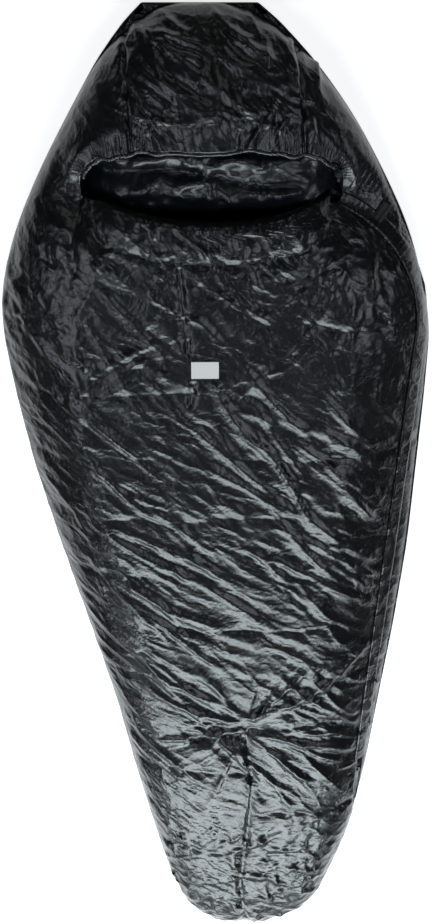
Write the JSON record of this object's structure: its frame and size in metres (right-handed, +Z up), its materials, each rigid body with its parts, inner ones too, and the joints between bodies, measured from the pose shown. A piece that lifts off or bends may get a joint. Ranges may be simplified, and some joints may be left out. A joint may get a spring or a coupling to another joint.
{
  "type": "mummy sleeping bag",
  "caption": "Black quilted mummy sleeping bag lying flat, with a cinched hood, a lens-shaped face opening, a full side zip and a front that folds open.",
  "frame": {"origin": "centre of the bag's bounding box, on the ground that it lies on", "axes": "+Y along the bag towards the hood, +X to the zip side, +Z up off the ground"},
  "size_m": [0.764, 2.13, 0.1279],
  "materials": {
    "shell_nylon": "calendered ripstop nylon, semi-gloss",
    "lining_nylon": "soft taffeta nylon, satin",
    "quilt_fill": "lofted fibre fill, matt",
    "zip_tape": "woven polyester tape, matt",
    "zip_coil": "extruded nylon coil, semi-gloss",
    "loop_pile": "brushed loop pile, matt",
    "label_weave": "damask woven label, matt",
    "tab_webbing": "woven nylon tab, matt",
    "cord_braid": "braided polyester cord, matt",
    "lock_plastic": "moulded acetal, satin",
    "spring_steel": "drawn wire",
    "slider_enamel": "black enamel on zinc die casting",
    "pull_enamel": "black enamel on zinc die casting"
  },
  "bodies": {
    "base": {"back_shell": "shell_nylon", "back_fill": "quilt_fill", "back_lining": "lining_nylon", "front_shell": "shell_nylon", "front_fill_foot": "quilt_fill", "front_fill_lower": "quilt_fill", "front_fill_mid": "quilt_fill", "front_fill_upper": "quilt_fill", "front_lining": "lining_nylon", "side_wall": "shell_nylon", "zip_tape_back": "zip_tape", "zip_coil_back": "zip_coil", "zip_tape_foot": "zip_tape", "zip_coil_foot": "zip_coil", "zip_stops": "zip_coil", "loop_patch": "loop_pile"},
    "flap": {"flap_shell": "shell_nylon", "flap_fill_lower": "quilt_fill", "flap_fill_upper": "quilt_fill", "flap_lining": "lining_nylon", "neck_baffle": "shell_nylon", "draft_tube": "lining_nylon", "zip_tape_front": "zip_tape", "zip_coil_front": "zip_coil", "chest_label": "label_weave"},
    "closure_tab": {"closure_tab": "tab_webbing"},
    "hood": {"hood_back_shell": "shell_nylon", "hood_back_fill": "quilt_fill", "hood_back_lining": "lining_nylon", "hood_panel_left": "shell_nylon", "hood_panel_centre": "shell_nylon", "hood_panel_right": "shell_nylon", "hood_fill": "quilt_fill", "hood_lining": "lining_nylon", "brow_channel": "shell_nylon", "drawcord": "cord_braid", "cord_end": "lock_plastic", "cord_lock_barrel": "lock_plastic", "cord_lock_spring": "spring_steel"},
    "cord_lock_plunger": {"cord_lock_plunger": "lock_plastic"},
    "slider_top": {"slider_top": "slider_enamel"},
    "pull_top": {"pull_top": "pull_enamel"},
    "slider_foot": {"slider_foot": "slider_enamel"},
    "pull_foot": {"pull_foot": "pull_enamel"}
  },
  "joints": [
    {"name": "flap_fold", "type": "hinge", "parent": "base", "child": "flap", "pos_m": [-0.2225, 0.77432, 0.14], "axis": [0.3758, -0.9265, -0.019], "range_deg": [0, 150]},
    {"name": "hood_tilt", "type": "hinge", "parent": "base", "child": "hood", "pos_m": [0, 0.77532, 0.045], "axis": [1, 0, 0], "range_deg": [0, 30]},
    {"name": "cord_lock_press", "type": "slide", "parent": "hood", "child": "cord_lock_plunger", "axis": [0, 0, -1], "range_m": [0, 0.004], "stiffness_N_per_m": 400, "springref_m": -0.001, "deforming": ["cord_lock_spring"]},
    {"name": "slider_top_travel", "type": "hinge", "parent": "base", "child": "slider_top", "pos_m": [0.10885, 0.5325, 0.0482], "axis": [0, 0, -1], "range_deg": [0, 64]},
    {"name": "pull_top_swing", "type": "hinge", "parent": "slider_top", "child": "pull_top", "pos_m": [0.21483, 0.76411, 0.053], "axis": [0.4161, 0.9093, 0], "range_deg": [0, 170]},
    {"name": "slider_foot_travel", "type": "slide", "parent": "base", "child": "slider_foot", "axis": [0.0437, 0.999, 0], "range_m": [0, 1.02]},
    {"name": "pull_foot_swing", "type": "hinge", "parent": "slider_foot", "child": "pull_foot", "pos_m": [0.3166, -0.54581, 0.053], "axis": [-0.999, 0.0437, 0], "range_deg": [0, 170]},
    {"name": "closure_tab_lift", "type": "hinge", "parent": "flap", "child": "closure_tab", "pos_m": [0.26433, 0.72597, 0.0612], "axis": [0.7795, -0.6264, 0], "range_deg": [0, 100]}
  ]
}
